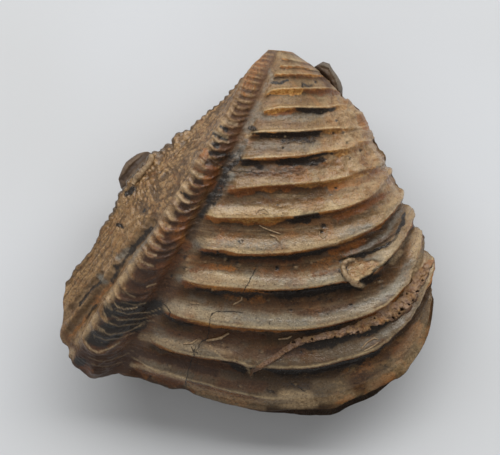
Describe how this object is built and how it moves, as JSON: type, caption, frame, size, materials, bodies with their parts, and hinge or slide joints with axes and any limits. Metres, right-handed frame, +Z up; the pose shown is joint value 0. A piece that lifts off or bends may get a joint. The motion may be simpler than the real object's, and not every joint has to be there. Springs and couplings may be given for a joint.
{
  "type": "fossil bivalve",
  "caption": "Closed ribbed fossil clam with a keeled rear area and a worm tube across its flank, lying on one valve",
  "frame": {"origin": "On the surface the fossil lies on, under the middle of its outline", "axes": "+Z up from the surface to the right valve, +Y from the ventral margin to the beak, +X from the rear of the shell to its front"},
  "size_m": [0.06, 0.058, 0.0315],
  "materials": {
    "shell_stone": "brown and tan fossil shell with cream rib crests and blue-black stains, slightly glossy",
    "lower_shell_stone": "darker brown fossil shell, worn smooth where it rests"
  },
  "bodies": {
    "root": {"right_valve": "shell_stone", "left_valve": "lower_shell_stone"}
  },
  "joints": []
}
